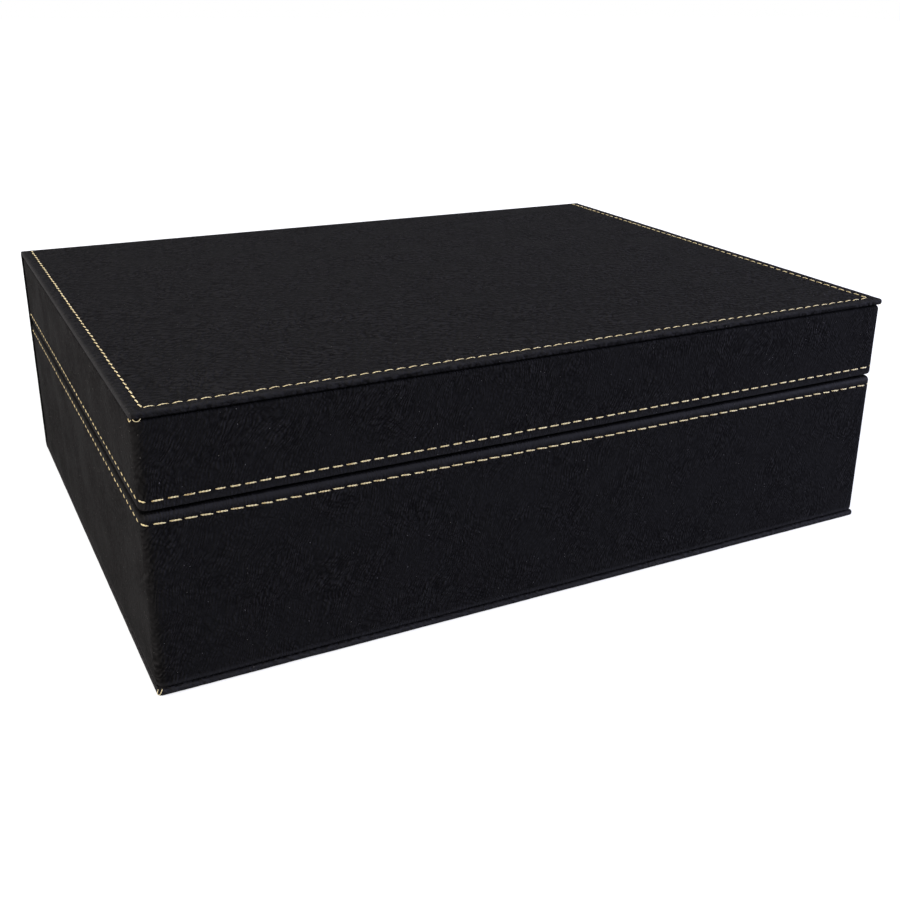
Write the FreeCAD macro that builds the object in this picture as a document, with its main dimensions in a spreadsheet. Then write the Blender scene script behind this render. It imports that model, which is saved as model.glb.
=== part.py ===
import FreeCAD, Part
import math
import os
import re
import Sketcher

# A leatherette gift box of the book kind, closed. A stiff cover (lid panel, spine panel, bottom panel)
# folds on two leatherette bends along the back, and carries two lined trays that meet rim to rim.
# The origin is on the table under the middle of the case: +X to the right, -Y to the front, +Z up.

doc = FreeCAD.newDocument("leatherette_gift_box")
vector = FreeCAD.Vector

# Driving dimensions in millimetres, and one share
dimensions = {
    # the closed case, over its cover
    "overall_width": 310.0,
    "overall_depth": 242.0,
    "overall_height": 100.0,
    "seam_height": 66.5,  # from the table to the line where the two rims meet
    "rim_gap": 0.4,
    # cover: greyboard in a leatherette skin
    "board": 0.8,
    "skin": 0.7,
    "panel_corner_radius": 1.8,
    "panel_edge_radius": 0.8,
    "panel_turn_in": 15.0,
    "overhang": 0.3,  # of the cover past the trays
    "hinge_radius": 3.5,  # outside of the leatherette bends
    "hinge_liner": 0.4,
    # trays
    "wall": 6.0,
    "tray_corner_radius": 3.2,
    "rim_radius": 2.0,
    "seat_radius": 1.4,  # of the tray edges that sit on the cover
    "wall_turn_in": 8.0,
    "tray_gap": 0.8,  # between the trays and the spine
    "floor_board": 2.0,
    "lining": 0.6,
    "pad": 3.0,
    "pad_edge_radius": 1.2,
    "fit_clearance": 0.2,
    # closure magnets, set on edge in the rims of the front walls
    "magnet_length": 20.0,
    "magnet_thickness": 2.0,
    "magnet_depth": 4.0,
    "magnet_spacing": 180.0,
    # sewing
    "thread": 0.6,
    "furrow_clearance": 0.15,
    "panel_stitch_pitch": 4.45,
    "panel_stitch_length": 3.6,
    "panel_stitch_inset": 4.6,
    "rim_stitch_pitch": 4.95,
    "rim_stitch_length": 4.1,
    "rim_stitch_inset": 3.5,
    # cutting
    "overrun": 1.0,
    "rounding_limit_share": 0.45,  # a rounding takes at most this share of its wall
}

# Sizes and places that follow from them. Places towards the front are negative.
worked_out = {
    "panel": "board + 2 * skin",
    "half_width": "overall_width / 2",
    "half_depth": "overall_depth / 2",
    "hinge_line": "half_depth - hinge_radius",  # where the lid and bottom panels end
    "spine_inside": "half_depth - panel",
    "tray_half_width": "half_width - overhang",
    "tray_front": "-half_depth + overhang",
    "tray_back": "spine_inside - tray_gap",
    "core_half_width": "tray_half_width - skin",
    "core_front": "tray_front + skin",
    "core_back": "tray_back - skin",
    "cavity_half_width": "core_half_width - wall",
    "cavity_front": "core_front + wall",
    "cavity_back": "core_back - wall",
    "base_rim": "seam_height - rim_gap / 2",  # each rim, as a distance from its own outer face
    "lid_rim": "overall_height - seam_height - rim_gap / 2",
    "panel_rounding": "min(panel_edge_radius; rounding_limit_share * panel)",
    "core_rounding": "min(rim_radius - skin; rounding_limit_share * wall)",
    "seat_rounding": "min(seat_radius - skin; rounding_limit_share * wall)",
    "pad_rounding": "min(pad_edge_radius; rounding_limit_share * pad)",
    "half_furrow": "thread / 2 + furrow_clearance",
    "stitch_sink": "thread / 2",
}


def cells(formula):
    # turns the plain names in a formula into references to the two sheets
    def reference(word):
        name = word.group()
        if name in dimensions:
            return "Sizes." + name
        return "Worked." + name if name in worked_out else name

    return re.sub("[a-z_]+", reference, formula)


def fill(sheet, rows):
    for row, (alias, text) in enumerate(rows, start=1):
        sheet.set(f"A{row}", alias)
        sheet.set(f"B{row}", text)
        sheet.setAlias(f"B{row}", alias)
        doc.recompute()


sizes = doc.addObject("Spreadsheet::Sheet", "Sizes")
fill(sizes, [(alias, str(size)) for alias, size in dimensions.items()])
worked = doc.addObject("Spreadsheet::Sheet", "Worked")
fill(worked, [(alias, "=" + cells(formula)) for alias, formula in worked_out.items()])


def number(name):
    return float((sizes if name in dimensions else worked).get(name))


def both_sides(half):
    return f"-({half})", half


def depths(end, near, far):
    # the heights between two distances from the outer face of the base or the lid
    if end == "base":
        return near, far
    return f"overall_height - ({far})", f"overall_height - ({near})"


# Shapes that the pieces share


def place(thing, **corner):
    for axis, formula in corner.items():
        thing.setExpression(f"Placement.Base.{axis}", cells(formula))


def box(name, x, y, z):
    # a block between three pairs of formulas
    made = doc.addObject("Part::Box", name)
    for side, (low, high) in zip(("Length", "Width", "Height"), (x, y, z)):
        made.setExpression(side, cells(f"({high}) - ({low})"))
    place(made, x=x[0], y=y[0], z=z[0])
    return made


def rectangle(sketch, half_width, front, back):
    # a unit square that its constraints stretch to size
    corners = [vector(-1, -1), vector(1, -1), vector(1, 1), vector(-1, 1)]
    first = sketch.GeometryCount
    for start, end in zip(corners, corners[1:] + corners[:1]):
        sketch.addGeometry(Part.LineSegment(start, end), False)
    for line in range(4):
        after = first + (line + 1) % 4
        sketch.addConstraint(Sketcher.Constraint("Coincident", first + line, 2, after, 1))
        along = "Vertical" if line % 2 else "Horizontal"
        sketch.addConstraint(Sketcher.Constraint(along, first + line))
    left, right = both_sides(half_width)
    for axis, line, formula in (("X", 0, left), ("Y", 0, front), ("X", 2, right), ("Y", 2, back)):
        side = Sketcher.Constraint("Distance" + axis, -1, 1, first + line, 1, 1 if line else -1)
        sketch.setExpression(f"Constraints[{sketch.addConstraint(side)}]", cells(formula))


def plate(name, z, *outlines):
    # a body padded from a plan of rectangles: the outline, then its opening if it has one
    body = doc.addObject("PartDesign::Body", name)
    sketch = body.newObject("Sketcher::SketchObject", name + "_plan")
    ground = [plane for plane in body.Origin.OriginFeatures if plane.Role == "XY_Plane"]
    sketch.AttachmentSupport = [(ground[0], "")]
    sketch.MapMode = "FlatFace"
    for outline in outlines:
        rectangle(sketch, *outline)
    pad = body.newObject("PartDesign::Pad", name + "_pad")
    pad.Profile = sketch
    pad.setExpression("Length", cells(f"({z[1]}) - ({z[0]})"))
    place(body, z=z[0])
    doc.recompute()
    return body


def round_off(body, what, radius, chosen):
    # rounds the edges of a body whose bounds pass the test
    base = body.Tip
    edges = [f"Edge{n}" for n, edge in enumerate(base.Shape.Edges, start=1) if chosen(edge.BoundBox)]
    fillet = body.newObject("PartDesign::Fillet", f"{body.Name}_{what}")
    fillet.Base = (base, edges)
    fillet.setExpression("Radius", cells(radius))
    doc.recompute()


def upright(bounds):
    return bounds.XLength + bounds.YLength < bounds.ZLength


def low_end(bounds):
    return bounds.ZMax < number("fit_clearance")


def high_end(body):
    top = body.Tip.Shape.BoundBox.ZMax
    return lambda bounds: bounds.ZMin > top - number("fit_clearance")


def at_hinge(bounds):
    return bounds.YMin > number("hinge_line") - number("fit_clearance")


def outside_walls(bounds):
    # is an edge of a tray nearer to the outside of its wall than to the inside?
    half = number("wall") / 2
    beside = abs(bounds.Center.x) > number("cavity_half_width") + half
    before = bounds.Center.y < number("cavity_front") - half
    return beside or before or bounds.Center.y > number("cavity_back") + half


def cut(name, base, *tools):
    for step, tool in enumerate(tools, start=1):
        made = doc.addObject("Part::Cut", name if step == len(tools) else f"{name}_step{step}")
        made.Base = base
        made.Tool = tool
        base = made
    return base


def common(name, base, tool):
    made = doc.addObject("Part::Common", name)
    made.Base = base
    made.Tool = tool
    return made


# Sewing: each stitch is a short bar whose ends slope down to its needle holes


def stitch_bar(row):
    half, thread = number(f"{row}_stitch_length") / 2, number("thread")
    side = [(-half, 0), (half, 0), (half - thread, thread), (thread - half, thread), (-half, 0)]
    outline = Part.makePolygon([vector(along, -thread / 2, up) for along, up in side])
    return Part.Face(outline).extrude(vector(0, thread, 0))


def sew(name, row, runs):
    # stitches at the even pitch of a panel's or a rim's row along straight runs,
    # each run with the way its thread faces
    bar, stitches = stitch_bar(row), []
    for start, end, outward in runs:
        run = end - start
        count = max(1, round(run.Length / number(f"{row}_stitch_pitch")))
        turn = FreeCAD.Rotation(run, vector(), outward, "XZY")
        for n in range(count):
            stitch = bar.copy()
            stitch.Placement = FreeCAD.Placement(start + run * ((2 * n + 1) / (2 * count)), turn)
            stitches.append(stitch)
    made = doc.addObject("Part::Feature", name)
    made.Shape = Part.makeCompound(stitches)
    made.Placement = FreeCAD.Placement()
    return made


# The cover


def cover_panel(end):
    # the lid or bottom panel: its board, its skin with the turn-in underneath, and its thread
    name = "bottom" if end == "base" else "lid"
    board = plate(f"{name}_board", depths(end, "skin", "panel - skin"),
                  ("half_width - skin", "-half_depth + skin", "hinge_line"))
    round_off(board, "corners", "panel_corner_radius - skin",
              lambda bounds: upright(bounds) and not at_hinge(bounds))
    block = plate(f"{name}_cover_block", depths(end, "0", "panel"),
                  ("half_width", "-half_depth", "hinge_line"))
    round_off(block, "corners", "panel_corner_radius",
              lambda bounds: upright(bounds) and not at_hinge(bounds))
    round_off(block, "edges", "panel_rounding",
              lambda bounds: not upright(bounds) and not at_hinge(bounds))
    opening = box(f"{name}_cover_opening",
                  both_sides("half_width - panel_turn_in"),
                  ("-half_depth + panel_turn_in", "hinge_line + overrun"),
                  depths(end, "panel - skin", "panel + overrun"))
    sink = "thread" if end == "base" else "stitch_sink"  # the thread underneath lies flush
    inset = "panel_stitch_inset"
    outer = box(f"{name}_furrow_outside",
                both_sides(f"half_width - {inset} + half_furrow"),
                (f"-half_depth + {inset} - half_furrow", "hinge_line + overrun"),
                depths(end, "-overrun", sink))
    inner = box(f"{name}_furrow_inside",
                both_sides(f"half_width - {inset} - half_furrow"),
                (f"-half_depth + {inset} + half_furrow", "hinge_line + 2 * overrun"),
                depths(end, "-2 * overrun", f"{sink} + overrun"))
    cover = cut(f"{name}_cover", block, board, opening, cut(f"{name}_furrow", outer, inner))

    x, back = number("half_width") - number(inset), number("hinge_line")
    front = number(inset) - number("half_depth")
    z = number(sink) if end == "base" else number("overall_height") - number(sink)
    ring = [vector(-x, back, z), vector(-x, front, z), vector(x, front, z), vector(x, back, z)]
    outward = vector(0, 0, -1 if end == "base" else 1)
    runs = [(start, finish, outward) for start, finish in zip(ring, ring[1:])]
    return [board, cover, sew(f"{name}_stitching", "panel", runs)]


def spine():
    z = ("hinge_radius", "overall_height - hinge_radius")
    past = ("hinge_radius - overrun", "overall_height - hinge_radius + overrun")
    board = box("spine_board", both_sides("half_width - skin"),
                ("spine_inside + skin", "half_depth - skin"), z)
    block = plate("spine_cover_block", z, ("half_width", "spine_inside", "half_depth"))
    round_off(block, "edges", "panel_rounding", upright)
    opening = box("spine_cover_opening", both_sides("half_width - panel_turn_in"),
                  ("spine_inside - overrun", "spine_inside + skin"), past)
    seams = both_sides("half_width - panel_stitch_inset")
    furrows = [box(f"spine_furrow_{side}", (f"{seam} - half_furrow", f"{seam} + half_furrow"),
                   ("half_depth - stitch_sink", "half_depth + overrun"), past)
               for side, seam in zip(("left", "right"), seams)]
    cover = cut("spine_cover", block, board, opening, *furrows)
    liner = box("spine_liner", both_sides("half_width - panel_turn_in - fit_clearance"),
                ("spine_inside", "spine_inside + skin"), z)

    y = number("half_depth") - number("stitch_sink")
    low, high = number("hinge_radius"), number("overall_height") - number("hinge_radius")
    half = number("half_width") - number("panel_stitch_inset")
    runs = [(vector(x, y, low), vector(x, y, high), vector(0, 1, 0)) for x in (-half, half)]
    return [board, cover, liner, sew("spine_stitching", "panel", runs)]


def bend(end, layer, outside, inside):
    # a quarter of a tube along the back edge, from the end of a panel to the end of the spine
    name = f"{'lower' if end == 'base' else 'upper'}_hinge_{layer}"
    pole, degrees = (vector(0, 1, 0), 90) if end == "base" else (vector(1, 1, 1), 120)
    turn = FreeCAD.Rotation(pole, degrees)
    rods = []
    for face, radius in (("outside", outside), ("inside", inside)):
        rod = doc.addObject("Part::Cylinder", f"{name}_{face}")
        rod.Angle = 90
        rod.setExpression("Radius", cells(radius))
        rod.setExpression("Height", cells("overall_width"))
        rod.Placement = FreeCAD.Placement(vector(), turn)
        place(rod, x="-half_width", y="hinge_line", z=depths(end, "hinge_radius", "hinge_radius")[0])
        rods.append(rod)
    return cut(name, *rods)


# The trays


def tray_ring(name, end, z, grow):
    # the walls of a tray as one ring, grown on every face by the skin or not at all
    body = plate(name, z,
                 (f"core_half_width + {grow}", f"core_front - {grow}", f"core_back + {grow}"),
                 (f"cavity_half_width - {grow}", f"cavity_front + {grow}", f"cavity_back - {grow}"))
    round_off(body, "corners", f"tray_corner_radius - skin + {grow}",
              lambda bounds: upright(bounds) and outside_walls(bounds))
    top = high_end(body)
    rim, seat = (top, low_end) if end == "base" else (low_end, top)
    round_off(body, "rims", f"core_rounding + {grow}", rim)
    round_off(body, "seats", f"seat_rounding + {grow}",
              lambda bounds: seat(bounds) and outside_walls(bounds))
    return body


def rim_thread(end):
    # one row of stitches round the outside of a tray, with a single stitch over each corner
    radius, sink = number("tray_corner_radius"), number("stitch_sink")
    half = number("tray_half_width") - radius
    front, back = number("tray_front") + radius, number("tray_back") - radius
    z = number(f"{end}_rim") - number("rim_stitch_inset")
    if end == "lid":
        z = number("overall_height") - z
    corners = [(-half, front), (half, front), (half, back), (-half, back)]
    centres = [vector(x, y, z) for x, y in corners]
    faces = [vector(0, -1, 0), vector(1, 0, 0), vector(0, 1, 0), vector(-1, 0, 0)]
    runs = []
    for n, centre in enumerate(centres):
        face, before, after = faces[n], faces[n - 1], centres[(n + 1) % 4]
        runs.append((centre + face * (radius - sink), after + face * (radius - sink), face))
        slant = (face + before).normalize()
        middle = centre + slant * (radius - sink)
        step = (face - before).normalize() * (number("rim_stitch_length") / 2)
        runs.append((middle - step, middle + step, slant))
    return sew(f"{end}_rim_stitching", "rim", runs)


def tray(end):
    rim = f"{end}_rim"
    core = tray_ring(f"{end}_core_ring", end, depths(end, "panel + skin", f"{rim} - skin"), "0")
    block = tray_ring(f"{end}_wrap_block", end, depths(end, "panel", rim), "skin")
    opening = box(f"{end}_wrap_opening", both_sides("cavity_half_width"), ("cavity_front", "cavity_back"),
                  depths(end, "panel - overrun", f"{rim} - wall_turn_in"))
    row = f"{rim} - rim_stitch_inset"
    furrow = plate(f"{end}_rim_furrow", depths(end, f"{row} - half_furrow", f"{row} + half_furrow"),
                   ("tray_half_width + overrun", "tray_front - overrun", "tray_back + overrun"),
                   ("tray_half_width - stitch_sink", "tray_front + stitch_sink", "tray_back - stitch_sink"))
    round_off(furrow, "corners", "tray_corner_radius - stitch_sink",
              lambda bounds: upright(bounds) and abs(bounds.XMin) < number("tray_half_width"))
    wrap = cut(f"{end}_wrap", block, core, opening, furrow)

    # the walls butt: front and back run the full width, the sides fit between them
    across, along = both_sides("tray_half_width"), ("cavity_front", "cavity_back")
    height = depths(end, "panel", rim)
    spaces = {
        "front": (across, ("tray_front", "cavity_front")),
        "back": (across, ("cavity_back", "tray_back")),
        "left": (("-tray_half_width", "-cavity_half_width"), along),
        "right": (("cavity_half_width", "tray_half_width"), along),
    }
    walls = []
    for side, (x, y) in spaces.items():
        space = box(f"{end}_{side}_space", x, y, height)
        if side == "front":
            plain = common(f"{end}_front_plain", core, space)
            wall, magnets = magnet_wall(end, plain)
        else:
            wall = common(f"{end}_{side}_wall", core, space)
        walls.append(wall)
    return [*walls, wrap, rim_thread(end), magnets, *lined_inside(end)]


def magnet_wall(end, plain):
    # the front wall with two slots in its rim, and a block magnet on the floor of each
    rim = f"{end}_rim - skin"
    middle = "(core_front + cavity_front) / 2"
    slots, magnets = [], []
    for side, x in zip(("left", "right"), both_sides("magnet_spacing / 2")):
        for kind, made, room, near, far in (
            ("slot", slots, "fit_clearance", "magnet_depth + fit_clearance", "-overrun"),
            ("magnet", magnets, "0", "magnet_depth + fit_clearance", "fit_clearance"),
        ):
            made.append(box(f"{end}_{kind}_{side}",
                            (f"{x} - magnet_length / 2 - {room}", f"{x} + magnet_length / 2 + {room}"),
                            (f"{middle} - magnet_thickness / 2 - {room}",
                             f"{middle} + magnet_thickness / 2 + {room}"),
                            depths(end, f"{rim} - ({near})", f"{rim} - ({far})")))
    pair = doc.addObject("Part::Compound", f"{end}_magnets")
    pair.Links = magnets
    return cut(f"{end}_front_wall", plain, *slots), pair


def lined_inside(end):
    # the board that closes the tray, the lining on its walls and the pad over the board
    board = box("base_floor_board" if end == "base" else "lid_ceiling_board",
                both_sides("cavity_half_width - fit_clearance"),
                ("cavity_front + fit_clearance", "cavity_back - fit_clearance"),
                depths(end, "panel", "panel + floor_board"))
    lining = plate(f"{end}_lining",
                   depths(end, "panel + floor_board", f"{end}_rim - wall_turn_in"),
                   ("cavity_half_width", "cavity_front", "cavity_back"),
                   ("cavity_half_width - lining", "cavity_front + lining", "cavity_back - lining"))
    room = "(lining + fit_clearance)"
    pad = plate(f"{end}_pad", depths(end, "panel + floor_board", "panel + floor_board + pad"),
                (f"cavity_half_width - {room}", f"cavity_front + {room}", f"cavity_back - {room}"))
    round_off(pad, "corners", "pad_rounding", upright)
    round_off(pad, "edges", "pad_rounding", high_end(pad) if end == "base" else low_end)
    return [board, lining, pad]


nodes = [*cover_panel("base"), *cover_panel("lid"), *spine()]
for end in ("base", "lid"):
    nodes.append(bend(end, "strip", "hinge_radius", "hinge_radius - skin"))
    nodes.append(bend(end, "liner", "hinge_radius - skin", "hinge_radius - skin - hinge_liner"))
    nodes += tray(end)
doc.recompute()

for thing in doc.Objects:
    if {"Invalid", "Error"} & set(thing.State):
        raise RuntimeError(f"{thing.Label} failed: {thing.State}")
for node in nodes:
    if node.Shape.isNull() or not node.Shape.isValid() or not node.Shape.Solids:
        raise RuntimeError(f"{node.Label} has no sound solid")

os.makedirs("parts", exist_ok=True)
for node in nodes:
    node.Shape.exportStep(f"parts/{node.Label}.step")

# where the bends turn: the middle of each strip keeps its length from closed to flat
middle_of_strip = number("hinge_radius") - number("skin") / 2
axis_inset = number("hinge_radius") - middle_of_strip * math.pi / 4
print(f"{len(nodes)} pieces")
print(f"hinge axes at y {number('half_depth') - axis_inset:.4f},",
      f"z {axis_inset:.4f} and {number('overall_height') - axis_inset:.4f}")
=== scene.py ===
import math

import bmesh
import bpy
import numpy as np
from mathutils import Matrix, Vector


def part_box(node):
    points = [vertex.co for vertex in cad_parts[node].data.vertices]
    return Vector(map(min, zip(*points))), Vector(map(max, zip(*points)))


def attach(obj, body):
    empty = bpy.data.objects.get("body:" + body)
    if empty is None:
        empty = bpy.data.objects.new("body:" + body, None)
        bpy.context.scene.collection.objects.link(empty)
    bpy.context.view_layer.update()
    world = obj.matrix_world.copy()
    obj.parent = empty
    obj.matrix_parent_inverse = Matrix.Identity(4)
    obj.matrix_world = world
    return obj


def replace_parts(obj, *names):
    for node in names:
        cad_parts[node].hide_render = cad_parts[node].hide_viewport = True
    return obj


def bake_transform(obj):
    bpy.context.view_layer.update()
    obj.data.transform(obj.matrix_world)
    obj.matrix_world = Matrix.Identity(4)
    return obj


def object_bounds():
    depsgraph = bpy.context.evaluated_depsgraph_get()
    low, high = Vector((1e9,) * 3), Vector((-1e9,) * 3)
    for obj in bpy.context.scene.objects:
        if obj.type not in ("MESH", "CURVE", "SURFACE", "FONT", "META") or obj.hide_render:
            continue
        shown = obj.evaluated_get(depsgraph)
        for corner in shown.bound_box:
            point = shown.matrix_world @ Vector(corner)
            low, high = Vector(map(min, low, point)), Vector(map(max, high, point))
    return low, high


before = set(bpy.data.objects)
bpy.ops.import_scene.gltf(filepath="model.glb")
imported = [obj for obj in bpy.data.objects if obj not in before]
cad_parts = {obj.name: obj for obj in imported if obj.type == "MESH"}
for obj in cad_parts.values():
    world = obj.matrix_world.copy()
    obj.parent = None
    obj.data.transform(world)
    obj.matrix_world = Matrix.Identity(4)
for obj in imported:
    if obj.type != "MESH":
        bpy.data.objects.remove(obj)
cadLow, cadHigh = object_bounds()
mm = 0.001
quarter = math.pi / 2
endShare = 0.7  # what runs or faces this much sideways belongs to an end of the case
print("frame loaded:", len(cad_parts), "nodes")


# node helpers: a value that is a socket is linked, anything else is typed in

def addNode(tree, kind, values=None, **settings):
    node = tree.nodes.new(kind)
    for key, value in settings.items():
        setattr(node, key, value)
    for key, value in (values or {}).items():
        if isinstance(value, bpy.types.NodeSocket):
            tree.links.new(value, node.inputs[key])
        else:
            node.inputs[key].default_value = value
    return node


def math2(tree, operation, first, second=0.0):
    return addNode(tree, "ShaderNodeMath", {0: first, 1: second}, operation=operation).outputs[0]


def times(tree, first, second):
    return math2(tree, "MULTIPLY", first, second)


def vectorMath(tree, operation, values, result=0):
    return addNode(tree, "ShaderNodeVectorMath", values, operation=operation).outputs[result]


def mixColour(tree, factor, first, second):
    values = {0: factor, 6: first, 7: second}
    return addNode(tree, "ShaderNodeMix", values, data_type="RGBA").outputs[2]


def spread(tree, value, low, high, toLow=0.0, toHigh=1.0):
    values = {0: value, 1: low, 2: high, 3: toLow, 4: toHigh}
    return addNode(tree, "ShaderNodeMapRange", values, clamp=True).outputs[0]


def noiseAt(tree, place, scale, detail, roughness=0.5, result=0):
    values = {"Vector": place, "Scale": scale, "Detail": detail, "Roughness": roughness}
    return addNode(tree, "ShaderNodeTexNoise", values).outputs[result]


def emptyTree(owner):
    owner.use_nodes = True
    owner.node_tree.nodes.clear()
    return owner.node_tree


def newGroup(name, inputs, outputs):
    tree = bpy.data.node_groups.new(name, "ShaderNodeTree")
    for title, value in inputs.items():
        kind = "NodeSocketVector" if value is None else "NodeSocketFloat"
        socket = tree.interface.new_socket(title, in_out="INPUT", socket_type=kind)
        if value is not None:
            socket.default_value = value
    for title in outputs:
        tree.interface.new_socket(title, in_out="OUTPUT", socket_type="NodeSocketFloat")
    return tree, addNode(tree, "NodeGroupInput").outputs, addNode(tree, "NodeGroupOutput").inputs


def useGroup(tree, group, values):
    return addNode(tree, "ShaderNodeGroup", values, node_tree=group).outputs


# shared effects

grainLook = {  # a noise is bumps per mm and detail; strays are in turns
    "swing": (0.034, 1.5), "swingReach": 11.0, "patch": (0.05, 2.0), "fold": (1.0, 2.0), "stray": (0.45, 1.0),
    "break": (0.8, 1.0), "pore": (2.4, 2.0), "pebbles": 0.8, "rippleStray": 2.6, "crossStray": -3.4,
    "foldTurn": (0.15, 0.42, 0.3), "rippleShare": 0.7, "foldShare": 0.45,
}


def makeGrainGroup():
    # embossed leatherette: broken ripples that swing about and come and go, folds across them
    # and pebbles between; Ripple and Cross are turns per mm, Sizes the fold's length in mm
    look = grainLook
    tree, given, leave = newGroup(
        "leatherGrain",
        {"Place": None, "Ripple": None, "Cross": None, "Sizes": None, "Wrinkle": 1.0, "Pebble": 0.5},
        ["Height", "Crease", "Patch"])
    place = vectorMath(tree, "SCALE", {0: given["Place"], 3: 1 / mm})
    swing = noiseAt(tree, place, *look["swing"], result="Color")
    pull = vectorMath(tree, "SUBTRACT", {0: swing, 1: (0.5, 0.5, 0.5)})
    pull = vectorMath(tree, "SCALE", {0: pull, 3: look["swingReach"]})
    drawn = vectorMath(tree, "ADD", {0: place, 1: pull})
    patch = spread(tree, noiseAt(tree, place, *look["patch"]), 0.36, 0.62)
    laid = addNode(tree, "ShaderNodeMapping",
                   {"Vector": drawn, "Rotation": look["foldTurn"], "Scale": given["Sizes"]},
                   vector_type="TEXTURE").outputs[0]
    fold = math2(tree, "ABSOLUTE", math2(tree, "SUBTRACT", noiseAt(tree, laid, *look["fold"]), 0.5))
    stray = noiseAt(tree, laid, *look["stray"])

    def wave(way, drift):
        turns = vectorMath(tree, "DOT_PRODUCT", {0: drawn, 1: given[way]}, "Value")
        turns = math2(tree, "ADD", turns, times(tree, stray, drift))
        return math2(tree, "SINE", times(tree, turns, 2 * math.pi))

    ripple = spread(tree, wave("Ripple", look["rippleStray"]), -1.0, 1.0)
    ripple = times(tree, ripple, spread(tree, wave("Cross", look["crossStray"]), -1.0, 0.6, 0.3, 1.0))
    breaks = spread(tree, noiseAt(tree, laid, *look["break"]), 0.35, 0.6, 0.25, 1.0)
    ripple = times(tree, ripple, breaks)
    folds = times(tree, spread(tree, fold, 0.0, 0.15), look["foldShare"])
    wrinkle = math2(tree, "ADD", times(tree, ripple, look["rippleShare"]), folds)
    cells = {"Vector": drawn, "Scale": look["pebbles"], "Smoothness": 0.5}
    cells = addNode(tree, "ShaderNodeTexVoronoi", cells, feature="SMOOTH_F1").outputs["Distance"]
    pebble = math2(tree, "SUBTRACT", noiseAt(tree, place, *look["pore"]), cells)
    strength = times(tree, given["Wrinkle"], spread(tree, patch, 0.0, 1.0, 0.6, 1.0))
    height = math2(tree, "ADD", times(tree, wrinkle, strength), times(tree, pebble, given["Pebble"]))
    # the grain's low places: the finish paints shade in them and a highlight on the ridges
    valleyShade = spread(tree, height, 0.0, 0.85, 1.0, 0.0)
    for title, value in (("Height", height), ("Crease", valleyShade), ("Patch", patch)):
        tree.links.new(value, leave[title])
    return tree


def makeDustGroup():
    # sparse pale specks of lint; Spacing and Speck are in mm
    tree, given, leave = newGroup(
        "lintSpecks", {"Place": None, "Spacing": 2.2, "Speck": 0.2, "Share": 0.1}, ["Mask"])
    place = vectorMath(tree, "SCALE", {0: given["Place"], 3: 1 / mm})
    density = math2(tree, "DIVIDE", 1.0, given["Spacing"])
    cells = addNode(tree, "ShaderNodeTexVoronoi", {"Vector": place, "Scale": density}).outputs
    near = math2(tree, "LESS_THAN", cells["Distance"], times(tree, given["Speck"], density))
    lot = addNode(tree, "ShaderNodeSeparateColor", {0: cells["Color"]}).outputs[0]
    chosen = math2(tree, "LESS_THAN", lot, given["Share"])
    tree.links.new(times(tree, near, chosen), leave["Mask"])
    return tree


def makeWeaveGroup():
    # plain weave: two sets of yarns that pass over and under each other; Yarn is in mm
    tree, given, leave = newGroup("plainWeave", {"Place": None, "Yarn": 0.5}, ["Height", "Gap"])
    turns = math2(tree, "DIVIDE", math.pi / mm, given["Yarn"])
    axes = addNode(tree, "ShaderNodeSeparateXYZ", {0: given["Place"]}).outputs
    across = math2(tree, "SINE", times(tree, axes[0], turns))
    along = math2(tree, "SINE", times(tree, math2(tree, "ADD", axes[1], axes[2]), turns))
    height = spread(tree, times(tree, across, along), -1.0, 1.0)
    cover = math2(tree, "ADD", math2(tree, "ABSOLUTE", across), math2(tree, "ABSOLUTE", along))
    tree.links.new(height, leave["Height"])
    tree.links.new(spread(tree, cover, 0.0, 0.7, 1.0, 0.0), leave["Gap"])
    return tree


grainGroup = makeGrainGroup()
dustGroup = makeDustGroup()
weaveGroup = makeWeaveGroup()


# finishes

def newFinish(name, constants):
    material = bpy.data.materials.new(name)
    tree = emptyTree(material)
    shader = addNode(tree, "ShaderNodeBsdfPrincipled", constants)
    addNode(tree, "ShaderNodeOutputMaterial", {"Surface": shader.outputs[0]})
    return material, tree, shader, addNode(tree, "ShaderNodeTexCoord").outputs["Object"]


def connect(tree, shader, **sockets):
    names = {"colour": "Base Color", "roughness": "Roughness", "normal": "Normal", "coat": "Coat Weight"}
    for key, value in sockets.items():
        tree.links.new(value, shader.inputs[names[key]])


def bumpFrom(tree, height, strength, distance):
    values = {"Height": height, "Strength": strength, "Distance": distance}
    return addNode(tree, "ShaderNodeBump", values).outputs[0]


leatherLook = {
    # the first two paint a highlight on the grain's ridges and shade in its valleys round the middle tone;
    # the edge colour is rubbed pale and also a painted highlight, the near black is painted shade in seams
    # and under edges
    "ridgeRubAndHighlight": (0.0165, 0.0158, 0.0161, 1), "valleyShade": (0.0040, 0.0038, 0.0039, 1),
    "middle": (0.0116, 0.0112, 0.0114, 1), "rubbedAndHighlight": (0.024, 0.0235, 0.025, 1),
    "paintedShade": (0.0012, 0.0012, 0.0013, 1), "lint": (0.20, 0.19, 0.18, 1),
    "specks": {"Spacing": 1.7, "Speck": 0.11, "Share": 0.16},
    "bumpDepth": 0.40 * mm, "edgeCoat": 0.04, "rubAndPaintedLight": 0.6,
    "shader": {"Specular IOR Level": 0.001, "Sheen Weight": 0.003, "Sheen Roughness": 0.45,
               "Coat Roughness": 0.40, "Coat IOR": 1.35},
}
leatherGrains = {  # the panels are rolled long and soft, the trays fine and slanting
    "leatherette": {"Ripple": (0.16, 0.30, 0.2), "Cross": (-0.26, 0.17, 0.2), "Sizes": (3.0, 2.6, 2.6),
                    "Wrinkle": 1.7, "Pebble": 0.4},
    "sideLeatherette": {"Ripple": (0.85, 0.40, -0.36), "Cross": (0.34, 0.22, 0.42), "Sizes": (1.8, 3.4, 3.0),
                        "Wrinkle": 0.85, "Pebble": 0.2},
}


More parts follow.
